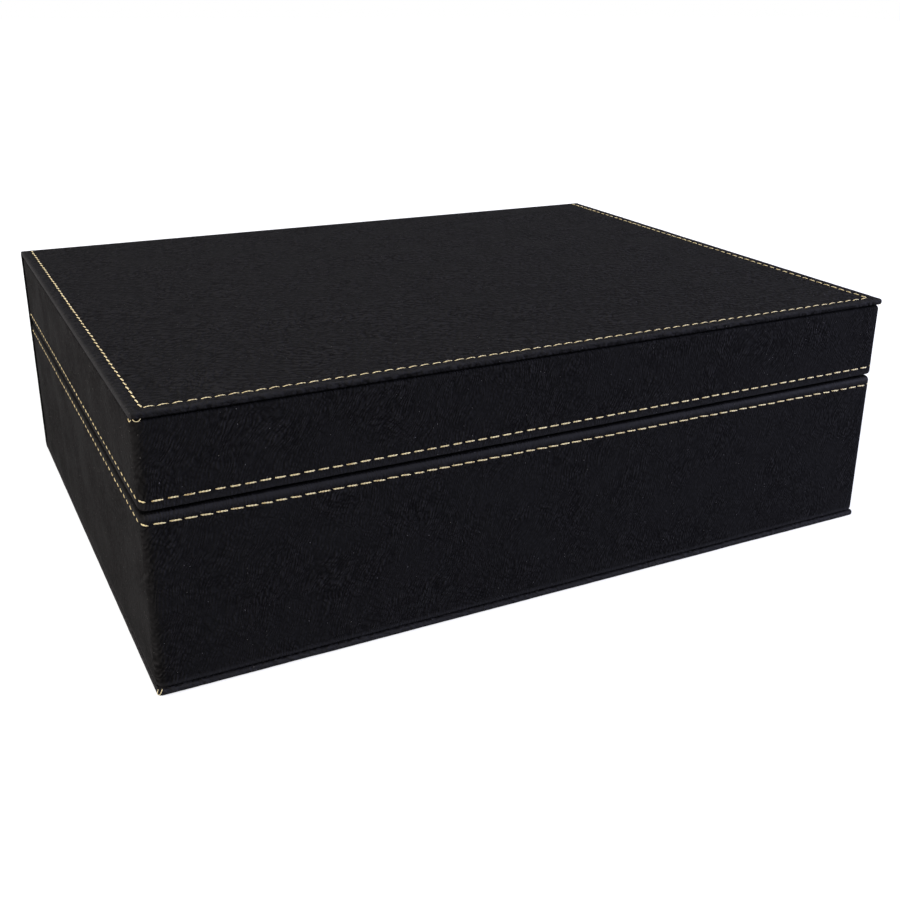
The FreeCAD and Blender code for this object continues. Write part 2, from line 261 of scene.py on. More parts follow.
def makeLeatherette(name):
    look = leatherLook
    material, tree, shader, place = newFinish(name, look["shader"])
    grain = useGroup(tree, grainGroup, {"Place": place, **leatherGrains[name]})
    lint = useGroup(tree, dustGroup, {"Place": place, **look["specks"]})[0]
    # the edge mark: above 0 the edges are worn smooth and glossy and painted pale as a highlight, below 0
    # painted shade in seams, under edges and where parts meet
    mark = addNode(tree, "ShaderNodeAttribute", attribute_name="edge").outputs["Fac"]
    edge = math2(tree, "MAXIMUM", mark, 0.0)
    paintedShade = math2(tree, "MAXIMUM", times(tree, mark, -1.0), 0.0)
    # painted shade in the grain's valleys and a painted highlight on its ridges, which are also rubbed pale
    colour = mixColour(tree, grain["Crease"], look["ridgeRubAndHighlight"], look["valleyShade"])
    calmer = spread(tree, grain["Patch"], 0.0, 1.0, 0.5, 0.0)  # smoother patches lose contrast, not tone
    colour = mixColour(tree, calmer, colour, look["middle"])
    # rubbed edges, painted pale as a highlight
    colour = mixColour(tree, times(tree, edge, look["rubAndPaintedLight"]), colour, look["rubbedAndHighlight"])
    colour = mixColour(tree, lint, colour, look["lint"])
    # painted shade where the mark is below 0
    colour = mixColour(tree, paintedShade, colour, look["paintedShade"])
    roughness = spread(tree, grain["Patch"], 0.0, 1.0, 0.56, 0.68)
    coat = times(tree, edge, look["edgeCoat"])
    calm = spread(tree, edge, 0.0, 1.0, 1.0, 0.55)  # stretched smooth round the edges
    normal = bumpFrom(tree, times(tree, grain["Height"], calm), 1.0, look["bumpDepth"])
    connect(tree, shader, colour=colour, roughness=roughness, normal=normal, coat=coat)
    return material


plainLooks = {  # tone and fine are noises: scale, detail and roughness; bump is strength and depth
    "thread": {
        "name": "sewingThread", "colours": ((0.70, 0.58, 0.30, 1), (0.42, 0.29, 0.11, 1)),
        "mix": (0.48, 0.72), "tone": (900.0, 2.0), "fine": (9000.0, 2.0), "rough": (0.5, 0.75),
        "bump": (0.5, 0.05 * mm),
        "shader": {"Specular IOR Level": 0.35, "Sheen Weight": 0.25, "Sheen Roughness": 0.4}},
    "velvet": {
        "name": "blackVelvet", "colours": ((0.012, 0.012, 0.013, 1), (0.017, 0.017, 0.018, 1)),
        "mix": (0.35, 0.65), "tone": (22.0, 3.0), "fine": (2600.0, 2.0), "rough": (0.85, 1.0),
        "bump": (0.7, 0.15 * mm),
        "shader": {"Specular IOR Level": 0.02, "Sheen Weight": 0.05, "Sheen Roughness": 0.35}},
    "greyboard": {
        "name": "greyboard", "colours": ((0.40, 0.37, 0.33, 1), (0.29, 0.265, 0.23, 1)), "mix": (0.35, 0.68),
        "tone": (900.0, 5.0, 0.7), "fine": (900.0, 5.0, 0.7), "rough": (0.8, 0.9), "bump": (0.3, 0.1 * mm),
        "shader": {"Specular IOR Level": 0.2}},
    "fibreboard": {
        "name": "fibreboard", "colours": ((0.50, 0.37, 0.24, 1), (0.37, 0.26, 0.16, 1)), "mix": (0.35, 0.68),
        "tone": (700.0, 5.0, 0.7), "fine": (700.0, 5.0, 0.7), "rough": (0.75, 0.85), "bump": (0.3, 0.1 * mm),
        "shader": {"Specular IOR Level": 0.2}, "stretch": (1, 1, 3)},
    "nickel": {
        "name": "nickelPlate", "colours": ((0.72, 0.72, 0.74, 1), (0.60, 0.59, 0.58, 1)), "mix": (0.35, 0.7),
        "tone": (700.0, 3.0), "fine": (700.0, 3.0), "rough": (0.18, 0.34), "bump": (0.1, 0.02 * mm),
        "shader": {"Metallic": 1.0}},
}


def makePlain(look):
    # thread fibres, velvet pile, pressed pulp or a hazy plating: a tone and a fine roughness
    material, tree, shader, place = newFinish(look["name"], look["shader"])
    stretch = look.get("stretch", (1, 1, 1))
    laid = addNode(tree, "ShaderNodeMapping", {"Vector": place, "Scale": stretch}).outputs[0]
    tone, fine = [noiseAt(tree, laid, *look[key]) for key in ("tone", "fine")]
    colour = mixColour(tree, spread(tree, tone, *look["mix"]), *look["colours"])
    roughness = spread(tree, fine, 0.3, 0.7, *look["rough"])
    connect(tree, shader, colour=colour, roughness=roughness, normal=bumpFrom(tree, fine, *look["bump"]))
    return material


clothLook = {
    "yarn": (0.022, 0.022, 0.023, 1), "gap": (0.006, 0.006, 0.006, 1), "yarnWidth": 0.55,
    "bump": (0.6, 0.12 * mm),
    "shader": {"Specular IOR Level": 0.03, "Sheen Weight": 0.02, "Sheen Roughness": 0.5},
}


def makeLinerCloth():
    look = clothLook
    material, tree, shader, place = newFinish("linerCloth", look["shader"])
    weave = useGroup(tree, weaveGroup, {"Place": place, "Yarn": look["yarnWidth"]})
    colour = mixColour(tree, weave["Gap"], look["yarn"], look["gap"])
    roughness = spread(tree, weave["Height"], 0.0, 1.0, 0.9, 0.7)
    normal = bumpFrom(tree, weave["Height"], *look["bump"])
    connect(tree, shader, colour=colour, roughness=roughness, normal=normal)
    return material


finishes = {name: makeLeatherette(name) for name in leatherGrains}
finishes |= {name: makePlain(look) for name, look in plainLooks.items()}
finishes["linerCloth"] = makeLinerCloth()
print("finishes made:", len(finishes))


# mesh helpers

def newObject(name, data):
    thing = bpy.data.objects.new(name, data)
    bpy.context.scene.collection.objects.link(thing)
    return thing


class Skin:
    # collects rows of points, the way each point faces, and an edge mask for the finish: wear, painted
    # highlights and painted shade
    def __init__(self):
        self.points, self.ways, self.edges, self.faces, self.count = [], [], [], [], 0

    def row(self, points, ways, edge=0.0):
        first = self.count
        self.points.append(points)
        self.ways.append(ways)
        self.edges.append(np.broadcast_to(np.asarray(edge, float), len(points)))
        self.count += len(points)
        return np.arange(first, self.count)

    def quads(self, one, two, closed=False):
        if closed:
            one, two = np.append(one, one[0]), np.append(two, two[0])
        self.faces += np.stack([one[:-1], one[1:], two[1:], two[:-1]], 1).tolist()

    def join(self, rows, closed=False):
        for one, two in zip(rows, rows[1:]):
            self.quads(one, two, closed)

    def tube(self, rings):
        self.join(rings, closed=True)
        self.faces += [rings[0].tolist(), rings[-1][::-1].tolist()]

    def between(self, left, right, steps, way):
        # rows of points straight across from one chain of points to another
        points = self.gathered()[0]
        share = np.linspace(0, 1, steps + 1)[1:-1, None]
        rows = []
        for one, two in zip(left, right):
            inner = self.row(points[one] + (points[two] - points[one]) * share, np.tile(way, (steps - 1, 1)))
            rows.append(np.concatenate([[one], inner, [two]]))
        return rows

    def stepDown(self, fine, coarse, closed=False):
        # triangles between a fine row and one that has every few of its points
        if closed:
            fine, coarse = np.append(fine, fine[0]), np.append(coarse, coarse[0])
        ratio = (len(fine) - 1) // (len(coarse) - 1)
        half = (ratio + 1) // 2
        for n in range(len(coarse) - 1):
            near, far = int(coarse[n]), int(coarse[n + 1])
            part = fine[n * ratio:(n + 1) * ratio + 1].tolist()
            for k in range(ratio):
                self.faces.append([part[k], part[k + 1], near if k < half else far])
            self.faces.append([part[half], far, near])

    def gathered(self):
        return np.concatenate(self.points), np.concatenate(self.ways), np.concatenate(self.edges)


def makePiece(name, points, faces, finish, edges=None, smoothAngle=50):
    mesh = bpy.data.meshes.new(name)
    mesh.from_pydata(np.asarray(points).tolist(), [], faces)
    if edges is not None:
        mesh.attributes.new("edge", "FLOAT", "POINT").data.foreach_set("value", edges.astype(np.float32))
    shape = bmesh.new()
    shape.from_mesh(mesh)
    bmesh.ops.recalc_face_normals(shape, faces=shape.faces)
    shape.to_mesh(mesh)
    shape.free()
    mesh.shade_smooth()
    mesh.set_sharp_from_angle(angle=math.radians(smoothAngle))
    mesh.materials.append(finishes[finish])
    piece = newObject(name, mesh)
    return piece


def lifted(flat, height):
    return np.hstack([flat, np.full((len(flat), 1), height)])


def stood(points, low, high, upward):
    # heights above a piece's own floor, turned into places in the frame; the lid's pieces hang
    points[:, 2] = low[2] + points[:, 2] if upward else high[2] - points[:, 2]
    return points


def waves(points, size, seed, count=14):
    # a smooth random field, about -2 to 2, with bumps of one size
    dice = np.random.default_rng(seed)
    field = np.zeros(len(points))
    for _ in range(count):
        way = dice.normal(size=3)
        way *= 2 * math.pi / size * dice.uniform(0.6, 1.4) / np.linalg.norm(way)
        field += np.sin(points @ way + dice.uniform(0, 2 * math.pi))
    return field * math.sqrt(2 / count)


def unevenness(points, make, seed):
    return sum(height * waves(points, size, seed + n) for n, (height, size) in enumerate(make["uneven"]))


def unit(vectors):
    return vectors / np.linalg.norm(vectors, axis=-1, keepdims=True)


def hump(distance, width):
    return np.exp(-(distance / width) ** 2)


def sideRow(start, end, pitch, outward, count=0):
    # the middles of the stitches along a straight run
    start, end = np.array(start, float), np.array(end, float)
    length = np.linalg.norm(end - start)
    count = count or max(1, round(length / pitch))
    share = (2 * np.arange(count) + 1) / (2 * count)
    along = np.tile((end - start) / length, (count, 1))
    return start + share[:, None] * (end - start), along, np.tile(np.array(outward, float), (count, 1))


def ringsRound(path, one, two, radius, sides):
    around = (np.arange(sides) / sides * 2 * math.pi)[:, None]
    ring = np.cos(around) * one[..., None, :] + np.sin(around) * two[..., None, :]
    return path[..., None, :] + radius * ring


def tubeFaces(tubes, rings, sides):
    # the sides of all the tubes, then the two ends of each
    ringAt = np.arange(rings - 1)[:, None] * sides
    sideAt = np.arange(sides)[None]
    nextAt = (sideAt + 1) % sides
    tube = np.stack([ringAt + sideAt, ringAt + nextAt, ringAt + sides + nextAt, ringAt + sides + sideAt], -1)
    starts = np.arange(tubes) * rings * sides
    faces = (tube.reshape(-1, 4)[None] + starts[:, None, None]).reshape(-1, 4).tolist()
    for start in starts.tolist():
        end = start + rings * sides
        faces += [list(range(start, start + sides))[::-1], list(range(end - sides, end))]
    return faces


# sewing: two twisted plies that rise out of one needle hole and dip into the next

threadMake = {"ply": 0.20 * mm, "lay": 0.14 * mm, "flat": 0.40, "twistPitch": 2.1 * mm, "rings": 11,
              "sides": 6, "dip": 0.55 * mm, "thinning": 0.6, "hookFrom": 0.62, "wander": 0.05 * mm,
              "vary": (0.03, 0.12, 0.25)}  # shares by which the length, arch and slant differ


def sewRow(name, runs, look, body, node, seed, bends=()):
    # bends gives one over the radius for runs that lie round a corner
    make, dice = threadMake, np.random.default_rng(seed)
    middle, along, outward = [np.concatenate(parts) for parts in zip(*runs)]
    bend = np.repeat(bends or [0] * len(runs), [len(run[0]) for run in runs])
    side = np.cross(outward, along)
    count = len(middle)
    t = np.linspace(-1, 1, make["rings"])
    onEnd = np.abs(along[:, 1:2]) > endShare  # rows on the two ends of the case may be sewn tighter
    length, arch, lean = [np.where(onEnd, ends, others) * (1 + dice.normal(0, vary, (count, 1)))
                          for ends, others, vary in zip(look["ends"], look["others"], make["vary"])]
    wander = dice.normal(0, make["wander"], (count, 1))
    reach = t * length / 2
    rise = (arch + make["dip"]) * (1 - np.abs(t) ** look["crown"])
    height = rise - make["dip"] - reach ** 2 * bend[:, None] / 2
    hooked = np.clip((t - make["hookFrom"]) / (1 - make["hookFrom"]), 0, 1)
    sway = wander + lean * t + look["hook"] * hooked ** 2
    path = (middle[:, None] + along[:, None] * reach[..., None]
            + outward[:, None] * height[..., None] + side[:, None] * sway[..., None])
    ahead = unit(np.gradient(path, axis=1))
    up = unit(outward[:, None] - ahead * np.sum(outward[:, None] * ahead, axis=2, keepdims=True))
    across = np.cross(ahead, up)
    low = up * make["flat"]  # pressed into the soft skin
    thick = make["ply"] * (1 - make["thinning"] * np.abs(t) ** 4)  # pulled tight into its holes
    start = dice.uniform(0, 2 * math.pi, (count, 1))
    plies = []
    for ply in range(2):
        lay = start + ply * math.pi + 2 * math.pi * reach / make["twistPitch"]
        core = path + make["lay"] * (np.cos(lay)[..., None] * low + np.sin(lay)[..., None] * across)
        plies.append(ringsRound(core, low, across, thick[:, None, None], make["sides"]))
    points = np.stack(plies, 1).reshape(-1, 3)  # stitch, ply, ring, side
    faces = tubeFaces(count * 2, make["rings"], make["sides"])
    piece = makePiece(name, points, faces, "thread", smoothAngle=80)
    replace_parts(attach(piece, body), node)


# cover panels: a skin rolled round a board, sewn along its free edges

panelMake = {"corner": 1.8 * mm, "roll": 0.85 * mm, "inset": 4.6 * mm, "pitch": 4.45 * mm, "perStitch": 6,
             "cornerSteps": 12, "coarser": 3, "furrow": 0.08 * mm, "hole": 0.24 * mm, "flat": 9.0 * mm,
             "turnedIn": (6.0 * mm, 3.0 * mm), "fade": 5.0 * mm, "outside": 1.6,
             "uneven": ((0.02 * mm, 21.0 * mm), (0.012 * mm, 6.0 * mm))}  # heights and widths of the bumps
panelInsets = [inset * mm for inset in (1.2, 1.7, 2.2, 2.7, 3.1, 3.5, 3.8, 4.1, 4.35, 4.6, 4.85, 5.1,
                                        5.4, 5.8, 6.4, 7.2)]
tightCorner = 0.25 * mm


def roundPath(stops, firstAngle, corner, steps, cornerSteps):
    # sides from stop to stop, each facing a quarter turn on from the last, with an arc after each
    spots, ways = [], []
    for n, (here, after) in enumerate(zip(stops, stops[1:])):
        angle, count = firstAngle + n * quarter, steps[n % 2]
        face = np.array((math.cos(angle), math.sin(angle)))
        share = np.arange(count)[:, None] / count
        turn = angle + np.arange(cornerSteps) / cornerSteps * quarter
        arc = np.stack([np.cos(turn), np.sin(turn)], 1)
        spots += [here + (after - here) * share + face * corner, after + arc * corner]
        ways += [np.tile(face, (count, 1)), arc]
    return np.concatenate(spots), np.concatenate(ways)


def edgePath(low, high, corner, inset, steps, cornerSteps):
    # left edge, front edge and right edge of a panel at some inset, from hinge to hinge
    corner = max(corner - inset, tightCorner)
    left, right, front = low[0] + inset + corner, high[0] - inset - corner, low[1] + inset + corner
    stops = np.array([(left, high[1]), (left, front), (right, front), (right, high[1])])
    spots, ways = roundPath(stops, math.pi, corner, steps, cornerSteps)
    return spots[:1 - cornerSteps], ways[:1 - cornerSteps]  # no corner at the hinge


def rollRows(thick, below, above):
    # inset, depth and facing of the rows round a rolled edge, and whether a row is on the upper half
    roll = panelMake["roll"]
    rows = [(roll * (1 - math.cos(a)), thick - roll * (1 + math.sin(a)), a, False)
            for a in np.linspace(-quarter, 0, below)]
    return rows + [(roll * (1 - math.cos(a)), roll * (1 - math.sin(a)), a, True)
                   for a in np.linspace(0, quarter, above)]


def holeAway(place, start, end, count):
    # how far along a row a point is from the nearest needle hole
    pitch = abs(end - start) / count
    along = np.abs(place - start)
    return np.abs(along - np.round(along / pitch) * pitch), along


sewnMake = {"pit": 0.5 * mm, "ripple": 0.022 * mm, "rippleSize": 2.3 * mm, "rippleStretch": 0.35,
            "rippleAt": 2.0 * mm, "rippleWidth": 2.2 * mm, "holeReach": 1.5 * mm, "lowShare": 0.75,
            # height, place and width of the rolls beside a row; lowShare of that is left next to a hole
            "rolls": ((0.10 * mm, 2.2 * mm, 1.3 * mm), (0.05 * mm, -1.7 * mm, 1.1 * mm))}


def sewnRelief(away, hole, along, make, seed, gape=1.0):
    # what the stitches do to the skin; away is the distance from the row, positive to the edge;
    # gape says how far the needle holes stand open, and below 0 the skin puckers up between stitches
    sewn = sewnMake
    sink = -(make["furrow"] + make["hole"] * hump(hole, sewn["pit"])) * gape * hump(away, sewn["pit"])
    roll = sum(height * hump(away - place, width) for height, place, width in sewn["rolls"])
    roll *= sewn["lowShare"] + (1 - sewn["lowShare"]) * np.clip(hole / sewn["holeReach"], 0, 1)
    spots = np.stack([along, away * sewn["rippleStretch"], away * 0], 1)
    ripple = waves(spots, sewn["rippleSize"], seed) * sewn["ripple"]
    return sink + roll + ripple * hump(away - sewn["rippleAt"], sewn["rippleWidth"])


def panelSkin(name, node, body, upward, seed):
    make = panelMake
    low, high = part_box(node)
    thick = high[2] - low[2]
    rowX, rowFront = high[0] - make["inset"], low[1] + make["inset"]
    sideCount, frontCount = round((high[1] - rowFront) / make["pitch"]), round(2 * rowX / make["pitch"])
    steps = [sideCount * make["perStitch"], frontCount * make["perStitch"]]
    skin = Skin()

    def addLoop(inset, depth, angle, edge, shrink=1):
        spot, way = edgePath(low, high, make["corner"], inset, [n // shrink for n in steps],
                             make["cornerSteps"] // shrink)
        if isinstance(edge, tuple):  # one for the front, one for the sides
            edge = np.where(np.abs(way[:, 0]) > endShare, edge[1], edge[0])
        return skin.row(lifted(spot, -depth), lifted(way * math.cos(angle), math.sin(angle)), edge)

    def addFlat(outer, depth, facing):
        # the flat middle, a grid that shares a coarse loop as its left, front and right sides
        loop = addLoop(make["flat"], depth, facing * quarter, 0, make["coarser"])
        skin.stepDown(outer, loop)
        sides, fronts, bend = [n // make["coarser"] for n in (*steps, make["cornerSteps"])]
        left = loop[:sides + 1][::-1]
        front = loop[sides + bend:sides + bend + fronts + 1]
        right = loop[sides + bend * 2 + fronts:]
        rows = skin.between(left[1:], right[1:], fronts, (0, 0, facing))
        skin.join(rows)
        # the corner points of the loop fan out to the first row of the grid
        skin.quads(rows[0][1:-1], front[1:-1])
        rightChain = loop[sides + bend + fronts - 1:sides + bend * 2 + fronts + 1][::-1]
        for chain, (end, hub) in ((loop[sides:sides + bend + 2], rows[0][:2]), (rightChain, rows[0][:-3:-1])):
            pairs = [*zip(chain, chain[1:]), (end, chain[0])]
            skin.faces += [[int(one), int(two), int(hub)] for one, two in pairs]
        return rows[-1]

    def rubAndPaintedLight(a, above):
        # painted light round the rolled edge: on the top panel painted shade under the front edge and a
        # painted highlight over it, a painted highlight line along the sides with painted shade beneath; the
        # bottom panel's edge rubbed and painted pale as a highlight
        if not upward:
            return 0.8 if above else 0.8 * math.cos(a)
        return (0.7 * math.sin(a), 1 - 0.3 * math.sin(a)) if above else (math.sin(a), 1 + 1.6 * math.sin(a))

    # underneath, round the roll of the edge, then over the top to the flat middle
    loops = [addLoop(inset, thick, -quarter, 0) for inset in make["turnedIn"]]
    loops += [addLoop(inset, depth, a, rubAndPaintedLight(a, above)) for inset, depth, a, above in rollRows(thick, 6, 8)]
    # the band between the row and the edge, rubbed and painted pale as a highlight
    loops += [addLoop(inset, 0, quarter, 0.45 * max(0.0, 1 - inset / make["inset"])) for inset in panelInsets]
    skin.join(loops)
    topEnd = addFlat(loops[-1], 0, 1)
    underEnd = addFlat(loops[0], thick, -1)
    # the cut end along the hinge
    leftEnd = [loop[0] for loop in loops]
    rightEnd = [loop[-1] for loop in loops]
    skin.faces.append([int(n) for n in [*topEnd, *rightEnd[::-1], *underEnd[::-1], *leftEnd]])

    points, ways, edges = skin.gathered()
    x, y = points[:, 0], points[:, 1]
    away = np.maximum(np.abs(x) - rowX, rowFront - y)
    onFront = (rowFront - y) >= (np.abs(x) - rowX)
    holeSide, alongSide = holeAway(y, high[1], rowFront, sideCount)
    holeFront, alongFront = holeAway(x, -rowX, rowX, frontCount)
    hole, along = np.where(onFront, holeFront, holeSide), np.where(onFront, alongFront, alongSide)
    along += np.where(onFront, 0.5, np.where(x > 0, 0.9, 0.0))  # no two sides ripple alike
    relief = sewnRelief(away, hole, along, make, seed) + unevenness(points, make, seed + 1)
    fade = np.clip((high[1] - y) / make["fade"], 0, 1)
    outer = np.clip(1 + points[:, 2] / thick * make["outside"], 0, 1)  # the side on the trays stays flat
    points = points + ways * (relief * fade * outer)[:, None]
    face, facing = (high[2], 1) if upward else (low[2], -1)
    points[:, 2] = face + points[:, 2] * facing
    piece = makePiece(name, points, skin.faces, "leatherette", edges)
    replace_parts(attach(piece, body), node)
    corners = [(-rowX, high[1], face), (-rowX, rowFront, face), (rowX, rowFront, face), (rowX, high[1], face)]
    return [sideRow(a, b, make["pitch"], (0, 0, facing)) for a, b in zip(corners, corners[1:])]


# a stitch is length, arch and slant; the crown says how square its arch is
panelStitch = {"others": (4.7 * mm, 0.10 * mm, 0.32 * mm), "ends": (4.3 * mm, 0.06 * mm, 0.32 * mm),
               "hook": 0.0, "crown": 2.6}
underStitch = {"others": (3.8 * mm, 0.05 * mm, 0.18 * mm), "ends": (3.8 * mm, 0.05 * mm, 0.18 * mm),
               "hook": 0.0, "crown": 3.5}
lidRuns = panelSkin("lid_skin", "lid_cover", "lid", True, 11)
sewRow("lid_thread", lidRuns, panelStitch, "lid", "lid_stitching", 21)
bottomRuns = panelSkin("bottom_skin", "bottom_cover", "base", False, 12)
sewRow("bottom_thread", bottomRuns, underStitch, "base", "bottom_stitching", 22)
print("lid and bottom panels made")


# spine: the same skin down the back, sewn at both ends

spineMake = {"turnedIn": (15.0 * mm, 8.0 * mm, 3.0 * mm), "flat": (9.0 * mm, 12.0 * mm), "middle": 14.0 * mm,
             "columns": 110}


def spineSkin(name, node, body, seed):
    make = panelMake
    low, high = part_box(node)
    thick = high[1] - low[1]
    rowX = high[0] - make["inset"]
    count = round((high[2] - low[2]) / make["pitch"])
    # inset from the end of the spine, depth under its outside, way it faces, edge mask: painted shade under
    # the roll and at its outer turn, a painted highlight over it and on the band by the row
    section = [(inset, thick, -quarter, 0) for inset in spineMake["turnedIn"]]
    section += [(inset, depth, a, 0.6 * math.sin(a) - 0.7 * math.cos(a) if above else math.sin(a))
                for inset, depth, a, above in rollRows(thick, 5, 7)]
    section += [(inset, 0, quarter, 0.4 * max(0.0, 1 - inset / make["inset"]))
                for inset in (*panelInsets, *spineMake["flat"])]
    half = [(low[0] + inset, -depth, -math.cos(a), math.sin(a), edge) for inset, depth, a, edge in section]
    middle = np.linspace(low[0] + spineMake["middle"], high[0] - spineMake["middle"], spineMake["columns"])
    mirrored = [(-x, depth, -way, rise, edge) for x, depth, way, rise, edge in half[::-1]]
    whole = np.array(half + [(x, 0, 0, 1, 0) for x in middle] + mirrored)
    skin = Skin()
    skin.tube([skin.row(lifted(whole[:, :2], z), lifted(whole[:, 2:4], 0), whole[:, 4])
               for z in np.linspace(low[2], high[2], count * make["perStitch"] + 1)])
    points, ways, edges = skin.gathered()
    x, y, z = points.T
    hole, along = holeAway(z, low[2], high[2], count)
    relief = sewnRelief(np.abs(x) - rowX, hole, along + (x > 0) * 0.7, make, seed)
    relief += unevenness(points, make, seed + 1)
    fade = np.clip(np.minimum(z - low[2], high[2] - z) / make["fade"], 0, 1)
    outer = np.clip(1 + y / thick * make["outside"], 0, 1)
    points = points + ways * (relief * fade * outer)[:, None]
    points[:, 1] += high[1]
    piece = makePiece(name, points, skin.faces, "leatherette", edges)
    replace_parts(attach(piece, body), node)
    ends = [((x, high[1], low[2]), (x, high[1], high[2])) for x in (-rowX, rowX)]
    return [sideRow(a, b, make["pitch"], (0, 1, 0)) for a, b in ends]


spineRuns = spineSkin("spine_skin", "spine_cover", "spine", 13)
sewRow("spine_thread", spineRuns, panelStitch, "spine", "spine_stitching", 23)
print("spine made")


# trays: leatherette drawn up the outside of the walls, over the rim and down inside

trayMake = {"corner": 3.2 * mm, "seat": 1.4 * mm, "skin": 0.7 * mm, "wall": 6.7 * mm, "leg": 8.0 * mm,
            "pitch": 4.95 * mm, "row": 3.5 * mm, "perStitch": 6, "cornerSteps": 12, "coarser": 3,
            "cornerReach": 2.1 * mm, "endGape": -0.35, "endFlat": 0.4, "furrow": 0.06 * mm, "hole": 0.26 * mm,
            "foot": 2.6 * mm, "rimDrop": 0.35 * mm, "aboveSeat": 1.2 * mm, "underBand": 9.6 * mm,
            "plainLoss": 12.0 * mm, "plainPitch": 2.6 * mm, "legTaper": 0.3 * mm, "coreDrop": 1.7 * mm,
            "coreSlope": 1.2 * mm, "uneven": ((0.02 * mm, 24.0 * mm), (0.014 * mm, 7.0 * mm))}
rimRows = [away * mm for away in (8.6, 7.6, 6.8, 6.2, 5.6, 5.1, 4.7, 4.35, 4.05, 3.75, 3.5, 3.25, 2.95, 2.6)]


def cornerCentres(low, high, corner, inset=0.0):
    # front left, front right, back right, back left
    x0, x1 = low[0] + inset + corner, high[0] - inset - corner
    y0, y1 = low[1] + inset + corner, high[1] - inset - corner
    return np.array([(x0, y0), (x1, y0), (x1, y1), (x0, y1)])


def ringPath(low, high, corner, inset, steps, cornerSteps):
    # one turn round a tray at some inset: front, right, back, left, each with the corner after it
    corner = max(corner - inset, tightCorner)
    centres = cornerCentres(low, high, corner, inset)
    return roundPath(np.vstack([centres, centres[:1]]), -quarter, corner, steps, cornerSteps)


